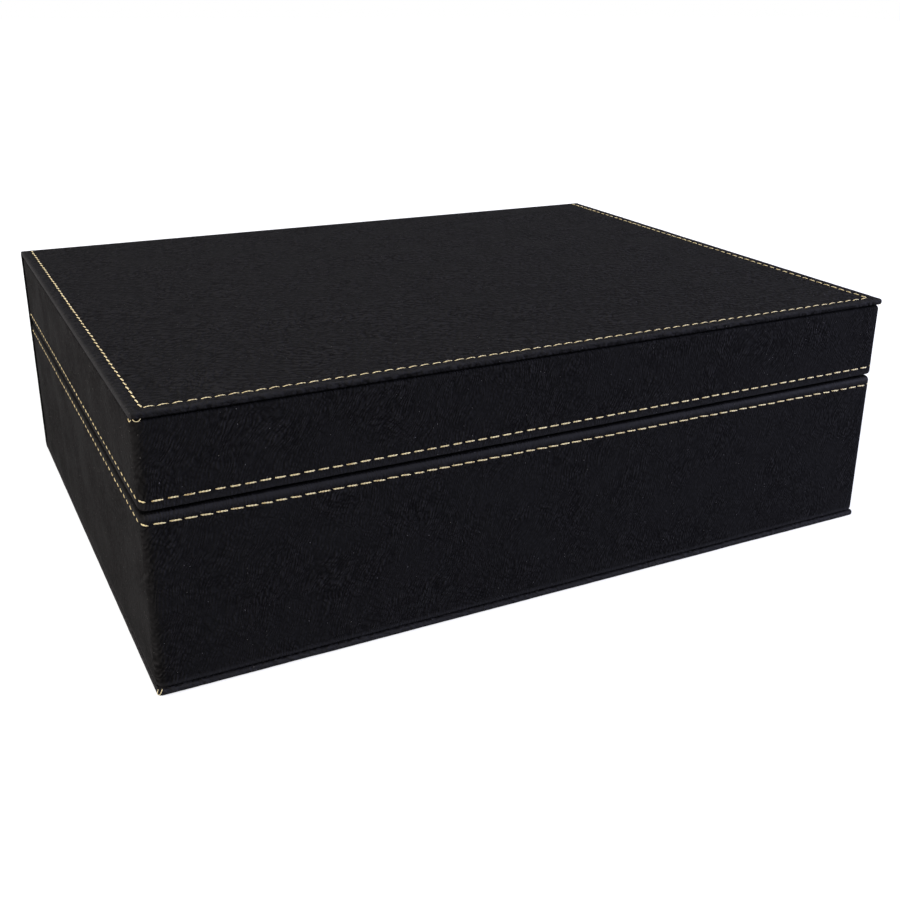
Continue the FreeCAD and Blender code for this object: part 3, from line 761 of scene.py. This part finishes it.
def trayWrap(name, node, body, rimUp, rim, clear, seatRubAndHighlight, seed):
    make = trayMake
    low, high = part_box(node)
    tall = high[2] - low[2] - make["rimDrop"]
    wall, skinThick, corner = make["wall"], make["skin"], make["corner"]
    runs = (high[0] - low[0] - 2 * corner, high[1] - low[1] - 2 * corner)
    steps = [round(run / make["pitch"]) * make["perStitch"] for run in runs]
    skin = Skin()

    def addRing(inset, rise, angle, edge=0.0, shrink=make["coarser"]):
        spot, way = ringPath(low, high, corner, inset, [n // shrink for n in steps],
                             make["cornerSteps"] // shrink)
        if isinstance(edge, tuple):  # one value for the front and back, one for the sides
            edge = edge[0] + (edge[1] - edge[0]) * way[:, 0] ** 2
        return skin.row(lifted(spot, rise), lifted(way * math.cos(angle), math.sin(angle)), edge)

    def rimRubAndPaintedLight(a):
        # rubbed and painted pale as a highlight where the rim turns over, painted shade in the seam, sooner
        # dark on the ends
        return 0.45 + 0.4 * math.sin(2 * a) if a < 1.0 else -0.8 * (a - 0.7), 0.4 - 1.3 * a

    # under the wall with painted shade on its foot, round the seat, rubbed and painted pale as a highlight,
    # and up the outside
    seat, foot, leg = make["seat"], make["foot"], make["leg"]
    outside = [addRing(wall, 0, -quarter), addRing(foot, 0, -quarter, -1), addRing(foot, clear, 0, -1)]
    shown = outside[-1][-1] + 1
    outside += [addRing(seat * (1 - math.cos(a)), clear + seat * (1 + math.sin(a)), a, seatRubAndHighlight * math.cos(a))
                for a in np.linspace(-quarter, 0, 6)]
    plainRows = max(3, round((tall - make["plainLoss"]) / make["plainPitch"]))
    plain = np.linspace(clear + seat + make["aboveSeat"], tall - make["underBand"], plainRows)
    outside += [addRing(0, rise, 0) for rise in plain]
    # the sewn band, rubbed and painted pale as a highlight between the row and the rim, the rim and its flat
    # top
    sewn = [addRing(0, tall - away, 0, 0.5 * max(0.0, 1 - away / make["row"]), 1) for away in rimRows]
    sewn += [addRing(rim * (1 - math.cos(a)), tall - rim * (1 - math.sin(a)), a, rimRubAndPaintedLight(a), 1)
             for a in np.linspace(0, quarter, 8)]
    # over to the inside, with painted shade on the rim's flat top where the trays meet, down the turned-in
    # leg, and back along the core
    inner = wall + skinThick
    inside = [addRing(inner / 2, tall, quarter, -1)]
    inside += [addRing(inner - rim * (1 - math.sin(a)), tall - rim * (1 - math.cos(a)), quarter + a, 0.3)
               for a in np.linspace(0, quarter, 6)]
    inside += [addRing(inner, tall - (leg - rim) * share - rim, math.pi) for share in (0.33, 0.66, 0.96)]
    inside += [addRing(inner - make["legTaper"], tall - leg, math.pi), addRing(wall, tall - leg, -quarter)]
    inside += [addRing(inset, rise, 0) for inset, rise in (
        (wall, tall - make["coreDrop"]), (wall - make["coreSlope"], tall - skinThick),
        (rim, tall - skinThick), (skinThick, tall - rim), (skinThick, seat + skinThick),
        (seat, skinThick), (wall, skinThick))]
    for rings in (outside, sewn, inside):
        skin.join(rings, closed=True)
    skin.stepDown(sewn[0], outside[-1], closed=True)
    skin.stepDown(sewn[-1], inside[0], closed=True)
    skin.quads(inside[-1], outside[0], closed=True)

    points, ways, edges = skin.gathered()
    # needle holes lie at the ends of each stitch, and at the ends of each corner
    hole, along, reached = [], [], 0
    for n in range(4):
        for count, pitch, length in ((steps[n % 2], make["perStitch"], runs[n % 2]),
                                     (make["cornerSteps"], make["cornerSteps"], corner * quarter)):
            place = np.arange(count)
            step = length / count
            hole.append(np.abs(place - np.round(place / pitch) * pitch) * step)
            along.append(reached + (place + 1) * step)
            reached = along[-1][-1]
    hole, along = [np.tile(np.concatenate(parts), len(sewn)) for parts in (hole, along)]
    onEnd = np.abs(ways[:, 0]) > endShare
    relief = unevenness(points, make, seed)
    relief *= np.where(onEnd, make["endFlat"], 1.0)  # the ends are drawn flatter
    band = slice(sewn[0][0], sewn[-1][-1] + 1)
    away = points[band, 2] - (tall - make["row"])  # positive to the rim
    gape = np.where(onEnd[band], make["endGape"], 1.0)
    relief[band] += sewnRelief(away, hole, along, make, seed + 2, gape)
    relief[:shown] = 0
    relief[inside[0][0]:] = 0
    points = stood(points + ways * relief[:, None], low, high, rimUp)
    piece = makePiece(name, points, skin.faces, "sideLeatherette", edges)
    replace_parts(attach(piece, body), node)

    # the stitch rows, a single stitch over each corner
    row = make["row"] + make["rimDrop"]
    centres = lifted(cornerCentres(low, high, corner), high[2] - row if rimUp else low[2] + row)
    faces = np.array([(0, -1, 0), (1, 0, 0), (0, 1, 0), (-1, 0, 0)], float)
    stitches, bends = [], []
    for n, centre in enumerate(centres):
        face, before, after = faces[n], faces[n - 1], centres[(n + 1) % 4]
        slant = (face + before) / math.sqrt(2)
        step = (face - before) / math.sqrt(2) * make["cornerReach"]
        middle = centre + slant * corner
        stitches += [sideRow(centre + face * corner, after + face * corner, make["pitch"], face),
                     sideRow(middle - step, middle + step, make["pitch"], slant, count=1)]
        bends += [0, 1 / corner]
    return stitches, bends


baseStitch = {"others": (4.6 * mm, 0.02 * mm, -0.14 * mm), "ends": (3.0 * mm, 0.04 * mm, -0.30 * mm),
              "hook": -0.5 * mm, "crown": 6.0}
lidStitch = {"others": (4.3 * mm, 0.02 * mm, -0.03 * mm), "ends": (3.0 * mm, 0.04 * mm, -0.24 * mm),
             "hook": 0.0, "crown": 6.0}
baseRows, baseBends = trayWrap("base_leatherette", "base_wrap", "base", True, 2.0 * mm, 0.3 * mm, 0.7, 31)
sewRow("base_rim_thread", baseRows, baseStitch, "base", "base_rim_stitching", 41, baseBends)
lidRows, lidBends = trayWrap("lid_leatherette", "lid_wrap", "lid", False, 1.2 * mm, 0.55 * mm, 0.0, 32)
sewRow("lid_rim_thread", lidRows, lidStitch, "lid", "lid_rim_stitching", 42, lidBends)
print("trays made")


# loose loops where the sewing turns under at the corners of the boards

loopMake = {"radius": 0.11 * mm, "sides": 8, "perSpan": 8, "upright": (0.3, 0.2, 1.0)}
lidLoops = [  # mm from the front left corner of the board's underside, to the right, forward and down
    [(-0.1, -1.2, -0.6), (-0.14, -0.6, -0.15), (-0.05, -0.15, 0.1), (0.15, 0.05, -0.1), (0.3, -0.1, -0.4)],
    [(1.0, -0.4, -0.3), (1.4, 0.05, 0.12), (2.0, 0.15, 0.32), (2.7, 0.1, 0.2), (3.3, -0.3, -0.3)],
]
baseLoops = [  # the same from the front left corner of the bottom board's upper side
    [(0.4, -0.9, -0.4), (-0.1, 0.0, 0.5), (0.4, 0.15, 1.1), (1.0, 0.12, 0.6), (1.7, -0.6, -0.3)],
]


def looseLoops(name, loops, corner, sideways, body):
    make, points = loopMake, []
    for loop in loops:
        knots = np.array(loop) * mm * np.array((sideways, -1, -1)) + np.array(corner)
        ends = np.vstack([2 * knots[0] - knots[1], knots, 2 * knots[-1] - knots[-2]])
        path = []
        for a, b, c, d in zip(ends, ends[1:], ends[2:], ends[3:]):  # a smooth curve through the knots
            for t in np.arange(make["perSpan"]) / make["perSpan"]:
                path.append(0.5 * (2 * b + (c - a) * t + (2 * a - 5 * b + 4 * c - d) * t ** 2
                                   + (3 * b - a - 3 * c + d) * t ** 3))
        path = np.array(path + [knots[-1]])
        ahead = unit(np.gradient(path, axis=0))
        across = unit(np.cross(ahead, make["upright"]))
        rings = ringsRound(path, across, np.cross(across, ahead), make["radius"], make["sides"])
        points.append(rings.reshape(-1, 3))
    faces = tubeFaces(len(loops), len(path), make["sides"])
    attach(makePiece(name, np.concatenate(points), faces, "thread", smoothAngle=80), body)


boardLow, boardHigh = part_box("lid_cover")
looseLoops("lid_left_loops", lidLoops, (boardLow[0], boardLow[1], boardLow[2]), 1, "lid")
looseLoops("lid_right_loop", lidLoops[1:], (boardHigh[0], boardLow[1], boardLow[2]), -1, "lid")
boardLow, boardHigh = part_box("bottom_cover")
looseLoops("bottom_left_loop", baseLoops, (boardLow[0], boardLow[1], boardHigh[2]), 1, "base")
print("thread loops made")


# bends along the back: leatherette outside, liner cloth inside

bendMake = {"steps": 20, "columns": 156, "backColumns": 40, "endSteps": 5, "start": 1.5 * mm,
            "backStart": 2.0 * mm, "edge": 0.25,
            "leatherette": (0.7 * mm, 0.45 * mm), "linerCloth": (0.4 * mm, 0.05 * mm)}  # thick, end radius


def bendStrip(name, node, lower, bodies, finish, slotName, start, end):
    make = bendMake
    low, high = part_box(node)
    reach = high[1] - low[1]
    thick, ends = make[finish]
    hinge = np.array((low[1], high[2] if lower else low[2]))
    corner = [(low[0], reach - thick)]
    corner += [(low[0] + ends * (1 - math.cos(a)), reach - ends + ends * math.sin(a))
               for a in np.linspace(0, quarter, make["endSteps"])]
    frontX, backX = low[0] + make["start"], low[0] + make["backStart"]
    section = corner + [(x, reach) for x in np.linspace(frontX, -frontX, make["columns"])]
    section += [(-x, radius) for x, radius in corner[::-1]]
    section += [(x, reach - thick) for x in np.linspace(-backX, backX, make["backColumns"])]
    x, radius = np.array(section).T
    skin, lines = Skin(), []
    for turn in np.linspace(0, quarter, make["steps"] + 1):
        angle = turn - quarter if lower else turn
        spots = np.stack([x, hinge[0] + radius * math.cos(angle), hinge[1] + radius * math.sin(angle)], 1)
        lines.append(skin.row(spots, spots * 0, make["edge"]))
    skin.tube(lines)
    points, _, edges = skin.gathered()
    piece = makePiece(name, points, skin.faces, finish, edges)
    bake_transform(piece)
    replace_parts(piece, node)


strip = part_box("lower_hinge_strip")
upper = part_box("upper_hinge_strip")
lowerSpan = {"start": (0, strip[0][1], strip[0][2]), "end": (0, strip[1][1], strip[1][2])}
upperSpan = {"start": (0, upper[1][1], upper[0][2]), "end": (0, upper[0][1], upper[1][2])}
for layer, *looks in (("strip", "leatherette", "leatherette"), ("liner", "linerCloth", "liner_cloth")):
    bendStrip(f"lower_bend_{layer}", f"lower_hinge_{layer}", True, ("base", "spine"), *looks, **lowerSpan)
    bendStrip(f"upper_bend_{layer}", f"upper_hinge_{layer}", False, ("spine", "lid"), *looks, **upperSpan)
print("bends made")


# lining round the inside of the walls, and the cloth inside the spine

liningMake = {"steps": (120, 90), "rows": 12, "cornerSteps": 6, "corner": 0.9 * mm, "thick": 0.6 * mm,
              "topEase": 0.4 * mm, "topRound": 0.1 * mm, "soft": 0.05 * mm, "softSize": 17.0 * mm}


def wallLining(name, node, body, rimUp, seed):
    make = liningMake
    low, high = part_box(node)
    tall, thick = high[2] - low[2], make["thick"]
    profile = [(0, 0), (thick, 0)]
    profile += [(thick, share * (tall - make["topEase"])) for share in np.linspace(0.06, 1, make["rows"])]
    profile += [(thick * 0.75, tall - make["topRound"]), (thick * 0.4, tall), (0, tall)]
    skin, rings = Skin(), []
    for inset, rise in profile:
        spot, way = ringPath(low, high, make["corner"], inset, make["steps"], make["cornerSteps"])
        rings.append(skin.row(lifted(spot, rise), lifted(-way, 0)))
    skin.join(rings + rings[:1], closed=True)
    points, ways, _ = skin.gathered()
    shown = slice(rings[2][0], rings[-3][0])
    soft = make["soft"] * waves(points[shown], make["softSize"], seed) + make["soft"]
    points[shown] += ways[shown] * soft[:, None]
    piece = makePiece(name, stood(points, low, high, rimUp), skin.faces, "velvet")
    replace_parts(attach(piece, body), node)


wallLining("base_wall_velvet", "base_lining", "base", True, 51)
wallLining("lid_wall_velvet", "lid_lining", "lid", False, 52)

clothMake = {"columns": 140, "rows": 46, "start": 2.0 * mm, "clear": 0.14 * mm, "softSize": 15.0 * mm,
             "softShare": 0.125, "inner": 0.3 * mm,
             "edge": ((0, 0.5 * mm), (0.15 * mm, 0.12 * mm), (0.7 * mm, 0))}  # insets and lifts, rounded


def spineCloth(name, node, body, seed):
    make = clothMake
    low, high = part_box(node)
    inset, lift = np.array(make["edge"]).T
    middle = np.linspace(low[0] + make["start"], high[0] - make["start"], make["columns"])
    x = np.concatenate([low[0] + inset, middle, high[0] - inset[::-1]])
    y = low[1] + np.concatenate([lift, np.zeros(len(middle)), lift[::-1]])
    section = np.concatenate([np.stack([x, y], 1), lifted(x[::-1, None], high[1])])
    skin = Skin()
    skin.tube([skin.row(lifted(section, z), np.tile((0.0, -1.0, 0.0), (len(section), 1)))
               for z in np.linspace(low[2], high[2], make["rows"])])
    points = skin.gathered()[0]
    inner = points[:, 1] < low[1] + make["inner"]
    soft = 1 + waves(points[inner], make["softSize"], seed) * make["softShare"]
    points[inner, 1] -= make["clear"] * soft  # clear of the turned-in skin
    piece = makePiece(name, points, skin.faces, "linerCloth")
    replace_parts(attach(piece, body), node)


spineCloth("spine_cloth", "spine_liner", "spine", 53)
print("linings made")


# pads: thin velvet pillows, blown up a little by the cloth solver

padMake = {"grid": 5.5 * mm, "roundEdge": 1.2 * mm, "crown": 1.1 * mm, "frames": 18, "enlarge": 10.0,
           "corner": 2.0 * mm, "footInset": 1.0 * mm, "footRise": 0.2 * mm, "topBand": 0.1 * mm,
           "leastRise": 0.01 * mm}
padCloth = {"vertex_group_mass": "held", "quality": 6, "mass": 0.4, "tension_stiffness": 12.0,
            "compression_stiffness": 12.0, "bending_stiffness": 0.8, "use_pressure": True,
            "uniform_pressure_force": 2.5}


def puffUp(points, faces, pinned):
    # the solver works on an enlarged copy; the rise is then held to the crown
    make, scene = padMake, bpy.context.scene
    mesh = bpy.data.meshes.new("padCloth")
    mesh.from_pydata((points * make["enlarge"]).tolist(), [], faces)
    sheet = newObject("padCloth", mesh)
    sheet.vertex_groups.new(name="held").add(pinned.tolist(), 1.0, "REPLACE")
    cloth = sheet.modifiers.new("cloth", "CLOTH")
    for key, value in padCloth.items():
        setattr(cloth.settings, key, value)
    cloth.settings.effector_weights.gravity = 0.0
    cloth.collision_settings.use_collision = False
    cloth.point_cache.frame_start, cloth.point_cache.frame_end = 1, make["frames"]
    for moment in range(1, make["frames"] + 1):
        scene.frame_set(moment)
    shaped = sheet.evaluated_get(bpy.context.evaluated_depsgraph_get())
    spots = np.empty(len(points) * 3, np.float32)
    shaped.data.vertices.foreach_get("co", spots)
    moved = spots.reshape(-1, 3) / make["enlarge"] - points
    bpy.data.objects.remove(sheet)
    scene.frame_set(1)
    held = min(1.0, make["crown"] / max(np.max(np.abs(moved[:, 2])), make["leastRise"]))
    print("pad rises", round(np.max(np.abs(moved[:, 2])) * held / mm, 2), "mm")
    return points + moved * held


def velvetPad(name, node, body, upward):
    make = padMake
    low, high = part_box(node)
    tall, edge = high[2] - low[2], make["roundEdge"]
    nx, ny = [round((high[n] - low[n]) / make["grid"]) for n in (0, 1)]
    profile = [(make["footInset"], 0), (0, make["footRise"]), (0, tall - edge)]
    profile += [(edge * (1 - math.cos(a)), tall - edge * (1 - math.sin(a))) for a in (0.5, 1.0, quarter)]
    skin, rings = Skin(), []
    for inset, rise in profile:
        spot = ringPath(low, high, make["corner"], inset, (nx, ny), 2)[0]
        rings.append(skin.row(lifted(spot, rise), np.zeros((len(spot), 3))))
    skin.join(rings, closed=True)
    # the flat top and bottom: the ring's sides joined across by a grid, and a triangle at each corner
    rightAt, backAt, leftAt = nx + 2, nx + ny + 4, 2 * nx + ny + 6
    for ring in (rings[-1], rings[0]):
        left, right = ring[leftAt + 1:leftAt + ny][::-1], ring[rightAt + 1:rightAt + ny]
        rows = skin.between(left, right, nx, (0, 0, 0))
        skin.join([ring[:nx + 1], *rows, ring[backAt:backAt + nx + 1][::-1]])
        closed = np.append(ring, ring[0])
        skin.faces += [closed[n - 2:n + 1].tolist() for n in (rightAt, backAt, leftAt, len(ring))]
    points = skin.gathered()[0]
    points = puffUp(points, skin.faces, np.where(points[:, 2] < tall - make["topBand"])[0])
    points = stood(points, low, high, upward)
    piece = makePiece(name, points, skin.faces, "velvet", smoothAngle=80)
    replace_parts(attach(piece, body), node)


velvetPad("base_velvet_pad", "base_pad", "base", True)
velvetPad("lid_velvet_pad", "lid_pad", "lid", False)
print("pads made")


# boards, wall cores and magnets keep their solids
coreFinish = {"board": "greyboard", "wall": "fibreboard", "magnets": "nickel"}
for node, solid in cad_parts.items():
    ending = node.split("_")[-1]
    if ending in coreFinish:
        solid.data.materials.clear()
        solid.data.materials.append(finishes[coreFinish[ending]])
print("cores finished")


# stage: white floor and surround, soft light from the left, the right and behind, a little from above

stageLook = {"floorSize": 6.0, "floorGap": 0.4 * mm, "floorGlow": 0.72, "floorTone": (0.36, 0.36, 0.36, 1),
             "fadeFrom": 0.25, "fadeTo": 0.9, "white": (1, 1, 1, 1), "surround": (0.82, 0.88, 1.0, 1),
             "surroundStrength": 0.32}


def seenDirectly(tree):
    # 1 for camera, mirror and glass rays, 0 for the rays that light things
    path = addNode(tree, "ShaderNodeLightPath").outputs
    seen = math2(tree, "MAXIMUM", path["Is Camera Ray"], path["Is Glossy Ray"])
    return math2(tree, "MAXIMUM", seen, path["Is Transmission Ray"])


def makeStage():
    look = stageLook
    material = bpy.data.materials.new("paleFloor")
    tree = emptyTree(material)
    matt = addNode(tree, "ShaderNodeBsdfDiffuse", {"Color": look["floorTone"]})
    place = addNode(tree, "ShaderNodeTexCoord").outputs["Object"]
    far = vectorMath(tree, "LENGTH", {0: place}, "Value")
    # the lamps fade out away from the box, and the floor's own glow makes up for it
    shine = spread(tree, far, look["fadeFrom"], look["fadeTo"], look["floorGlow"], 1.0)
    shine = times(tree, seenDirectly(tree), shine)
    glow = addNode(tree, "ShaderNodeEmission", {"Color": look["white"], "Strength": shine})
    both = addNode(tree, "ShaderNodeAddShader", {0: matt.outputs[0], 1: glow.outputs[0]})
    addNode(tree, "ShaderNodeOutputMaterial", {"Surface": both.outputs[0]})
    half = look["floorSize"]
    mesh = bpy.data.meshes.new("floor")
    corners = [(-half, -half, 0), (half, -half, 0), (half, half, 0), (-half, half, 0)]
    mesh.from_pydata(corners, [], [(0, 1, 2, 3)])
    mesh.materials.append(material)
    floor = newObject("floor", mesh)
    floor.location.z = cadLow[2] - look["floorGap"]

    world = bpy.data.worlds.new("surround")
    bpy.context.scene.world = world
    tree = emptyTree(world)
    glows = {0: seenDirectly(tree)}  # the surround lights things, and is seen as white
    for n, colour, strength in ((1, "surround", look["surroundStrength"]), (2, "white", 1.0)):
        values = {"Color": look[colour], "Strength": strength}
        glows[n] = addNode(tree, "ShaderNodeBackground", values).outputs[0]
    both = addNode(tree, "ShaderNodeMixShader", glows)
    addNode(tree, "ShaderNodeOutputWorld", {"Surface": both.outputs[0]})


lamps = {  # where, aimed at, size, watts, colour
    "overhead": ((0.05, 0.10, 1.30), (0, 0, 0.05), 1.1, 1.8, (1.0, 0.92, 0.78)),
    "backLight": ((-0.85, 1.15, 0.50), (0, 0.1, 0.05), 0.5, 7.0, (1.0, 0.96, 0.92)),
    "leftSide": ((-1.30, -0.24, 0.55), (-0.1, 0, 0.05), 0.6, 24.0, (1.0, 0.95, 0.90)),
    "rightFill": ((1.25, -0.62, 0.50), (0.05, -0.1, 0.05), 0.5, 40.0, (0.68, 0.72, 1.0)),
}


def makeLamps():
    for name, (where, target, size, watts, colour) in lamps.items():
        lamp = bpy.data.lights.new(name, "AREA")
        lamp.size, lamp.energy, lamp.color = size, watts, colour
        holder = newObject(name, lamp)
        holder.location = where
        holder.rotation_euler = (Vector(target) - Vector(where)).to_track_quat("-Z", "Y").to_euler()


cameraLook = {
    "place": (-0.21168, -0.44948, 0.2229), "right": (0.88318, -0.46882, 0.01415),
    "down": (-0.15585, -0.32178, -0.9339), "ahead": (0.44239, 0.82259, -0.35726),
    "sensor": 36.0, "lens": 45.463, "shift": (-0.0365, -0.04), "clip": (0.01, 50.0),
}


def makeCamera():
    look = cameraLook
    data = bpy.data.cameras.new("camera")
    data.sensor_width, data.lens = look["sensor"], look["lens"]
    data.shift_x, data.shift_y = look["shift"]
    data.clip_start, data.clip_end = look["clip"]
    camera = newObject("camera", data)
    right, up, back = Vector(look["right"]), -Vector(look["down"]), -Vector(look["ahead"])
    turn = Matrix((right, up, back)).transposed().to_4x4()
    camera.matrix_world = Matrix.Translation(look["place"]) @ turn
    bpy.context.scene.camera = camera


makeStage()
makeLamps()
makeCamera()
bpy.context.scene.view_settings.view_transform = "Standard"
print("stage set")
